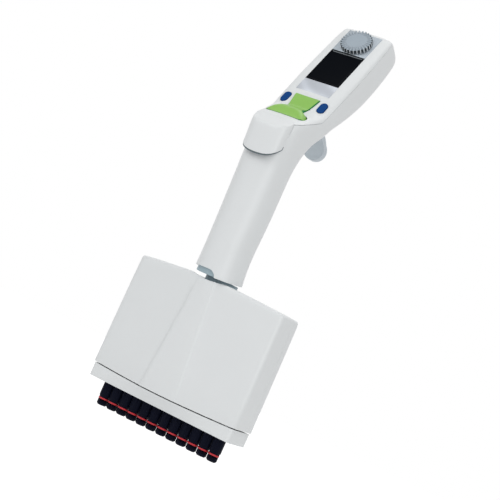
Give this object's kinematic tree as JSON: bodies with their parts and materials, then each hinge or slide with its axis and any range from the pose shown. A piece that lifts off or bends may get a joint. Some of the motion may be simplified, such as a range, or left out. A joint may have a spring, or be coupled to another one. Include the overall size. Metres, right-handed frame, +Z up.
{
  "type": "multichannel pipette",
  "caption": "Electronic pipette with a row of sprung tip cones on a swivelling lower part, and a leaning head with display, menu dial, thumb rocker and finger hook.",
  "frame": {"origin": "on the swivel axis, in the row of tip cones, level with the cone ends", "axes": "+Z up along the handle, +X along the row of cones, -Y is the front with display and keys"},
  "size_m": [0.1268, 0.1076, 0.326],
  "materials": {
    "shell_white": "satin moulded plastic, off-white",
    "hook_grey": "satin moulded plastic, cool light grey",
    "window_black": "glossy black window",
    "panel_silver": "silver-grey lacquered plastic",
    "band_silver": "light silver lacquered plastic",
    "dial_silver": "silver-grey moulded plastic",
    "rocker_green": "satin green plastic",
    "key_blue": "satin dark blue plastic",
    "cone_black": "black moulded plastic with a faint sheen",
    "ring_red": "red sealing rubber",
    "seal_black": "black sealing rubber",
    "steel": "plain steel",
    "frame_grey": "grey engineering plastic",
    "collar_grey": "blue-grey engineering plastic",
    "piston_grey": "light grey engineering plastic",
    "board_green": "green circuit board",
    "battery_blue": "blue shrink sleeve"
  },
  "bodies": {
    "handle": {"handle_body": "shell_white", "face_cover": "shell_white", "battery_door": "shell_white", "finger_hook": "hook_grey", "display_window": "window_black", "upper_trim": "panel_silver", "lower_trim": "band_silver", "display_module": "frame_grey", "main_board": "board_green", "tact_switches": "frame_grey", "battery_pack": "battery_blue", "dial_encoder": "frame_grey", "rocker_pin": "steel", "drive_motor": "steel", "motor_bracket": "frame_grey", "swivel_bush": "collar_grey"},
    "dial": {"menu_dial": "dial_silver"},
    "rocker": {"pipetting_rocker": "rocker_green"},
    "left_soft_key": {"left_key": "key_blue"},
    "right_soft_key": {"right_key": "key_blue"},
    "ejector": {"ejector_key": "shell_white", "ejector_rod": "frame_grey", "ejector_spring": "steel"},
    "spindle": {"drive_screw": "steel"},
    "lower_part": {"coupling_neck": "collar_grey", "front_housing": "shell_white", "rear_housing": "shell_white", "housing_screws": "steel", "cylinder_block": "piston_grey", "piston_seals": "seal_black", "cone_guide": "frame_grey", "cone_springs": "steel"},
    "stripper": {"ejector_frame": "frame_grey", "ejector_skirt": "shell_white"},
    "piston_set": {"piston_carrier": "frame_grey", "pistons": "piston_grey"},
    "cone_01": {"tip_cone_01": "cone_black", "o_ring_01": "ring_red"},
    "cone_02": {"tip_cone_02": "cone_black", "o_ring_02": "ring_red"},
    "cone_03": {"tip_cone_03": "cone_black", "o_ring_03": "ring_red"},
    "cone_04": {"tip_cone_04": "cone_black", "o_ring_04": "ring_red"},
    "cone_05": {"tip_cone_05": "cone_black", "o_ring_05": "ring_red"},
    "cone_06": {"tip_cone_06": "cone_black", "o_ring_06": "ring_red"},
    "cone_07": {"tip_cone_07": "cone_black", "o_ring_07": "ring_red"},
    "cone_08": {"tip_cone_08": "cone_black", "o_ring_08": "ring_red"},
    "cone_09": {"tip_cone_09": "cone_black", "o_ring_09": "ring_red"},
    "cone_10": {"tip_cone_10": "cone_black", "o_ring_10": "ring_red"},
    "cone_11": {"tip_cone_11": "cone_black", "o_ring_11": "ring_red"},
    "cone_12": {"tip_cone_12": "cone_black", "o_ring_12": "ring_red"}
  },
  "joints": [
    {"name": "dial_turn", "type": "hinge", "parent": "handle", "child": "dial", "pos_m": [0, 0.03751, 0.31353], "axis": [0, -0.8526, 0.5225], "continuous": true},
    {"name": "rocker_tilt", "type": "hinge", "parent": "handle", "child": "rocker", "pos_m": [0, 0.00032, 0.24671], "axis": [1, 0, 0], "range_deg": [-2.5, 2.5], "stiffness_Nm_per_rad": 3},
    {"name": "left_key_press", "type": "slide", "parent": "handle", "child": "left_soft_key", "axis": [0, 0.8526, -0.5225], "range_m": [0, 0.0008], "stiffness_N_per_m": 1500, "springref_m": -0.0005},
    {"name": "right_key_press", "type": "slide", "parent": "handle", "child": "right_soft_key", "axis": [0, 0.8526, -0.5225], "range_m": [0, 0.0008], "stiffness_N_per_m": 1500, "springref_m": -0.0005},
    {"name": "ejector_press", "type": "slide", "parent": "handle", "child": "ejector", "axis": [0, 0, -1], "range_m": [0, 0.008], "stiffness_N_per_m": 1000, "springref_m": -0.003, "deforming": ["ejector_spring"]},
    {"name": "stripper_slide", "type": "slide", "parent": "lower_part", "child": "stripper", "axis": [0, 0, -1], "range_m": [0, 0.008]},
    {"name": "spindle_stroke", "type": "slide", "parent": "handle", "child": "spindle", "axis": [0, 0, -1], "range_m": [0, 0.025]},
    {"name": "piston_stroke", "type": "slide", "parent": "lower_part", "child": "piston_set", "axis": [0, 0, -1], "range_m": [0, 0.025]},
    {"name": "lower_swivel", "type": "hinge", "parent": "handle", "child": "lower_part", "pos_m": [0, 0, 0.12], "axis": [0, 0, 1], "continuous": true},
    {"name": "cone_01_spring", "type": "slide", "parent": "lower_part", "child": "cone_01", "axis": [0, 0, 1], "range_m": [0, 0.002], "stiffness_N_per_m": 1500, "springref_m": -0.002, "deforming": ["cone_springs"]},
    {"name": "cone_02_spring", "type": "slide", "parent": "lower_part", "child": "cone_02", "axis": [0, 0, 1], "range_m": [0, 0.002], "stiffness_N_per_m": 1500, "springref_m": -0.002},
    {"name": "cone_03_spring", "type": "slide", "parent": "lower_part", "child": "cone_03", "axis": [0, 0, 1], "range_m": [0, 0.002], "stiffness_N_per_m": 1500, "springref_m": -0.002},
    {"name": "cone_04_spring", "type": "slide", "parent": "lower_part", "child": "cone_04", "axis": [0, 0, 1], "range_m": [0, 0.002], "stiffness_N_per_m": 1500, "springref_m": -0.002},
    {"name": "cone_05_spring", "type": "slide", "parent": "lower_part", "child": "cone_05", "axis": [0, 0, 1], "range_m": [0, 0.002], "stiffness_N_per_m": 1500, "springref_m": -0.002},
    {"name": "cone_06_spring", "type": "slide", "parent": "lower_part", "child": "cone_06", "axis": [0, 0, 1], "range_m": [0, 0.002], "stiffness_N_per_m": 1500, "springref_m": -0.002},
    {"name": "cone_07_spring", "type": "slide", "parent": "lower_part", "child": "cone_07", "axis": [0, 0, 1], "range_m": [0, 0.002], "stiffness_N_per_m": 1500, "springref_m": -0.002},
    {"name": "cone_08_spring", "type": "slide", "parent": "lower_part", "child": "cone_08", "axis": [0, 0, 1], "range_m": [0, 0.002], "stiffness_N_per_m": 1500, "springref_m": -0.002},
    {"name": "cone_09_spring", "type": "slide", "parent": "lower_part", "child": "cone_09", "axis": [0, 0, 1], "range_m": [0, 0.002], "stiffness_N_per_m": 1500, "springref_m": -0.002},
    {"name": "cone_10_spring", "type": "slide", "parent": "lower_part", "child": "cone_10", "axis": [0, 0, 1], "range_m": [0, 0.002], "stiffness_N_per_m": 1500, "springref_m": -0.002},
    {"name": "cone_11_spring", "type": "slide", "parent": "lower_part", "child": "cone_11", "axis": [0, 0, 1], "range_m": [0, 0.002], "stiffness_N_per_m": 1500, "springref_m": -0.002},
    {"name": "cone_12_spring", "type": "slide", "parent": "lower_part", "child": "cone_12", "axis": [0, 0, 1], "range_m": [0, 0.002], "stiffness_N_per_m": 1500, "springref_m": -0.002}
  ],
  "couplings": [
    {"joint": "stripper_slide", "follows": "ejector_press", "ratio": 1},
    {"joint": "piston_stroke", "follows": "spindle_stroke", "ratio": 1}
  ]
}
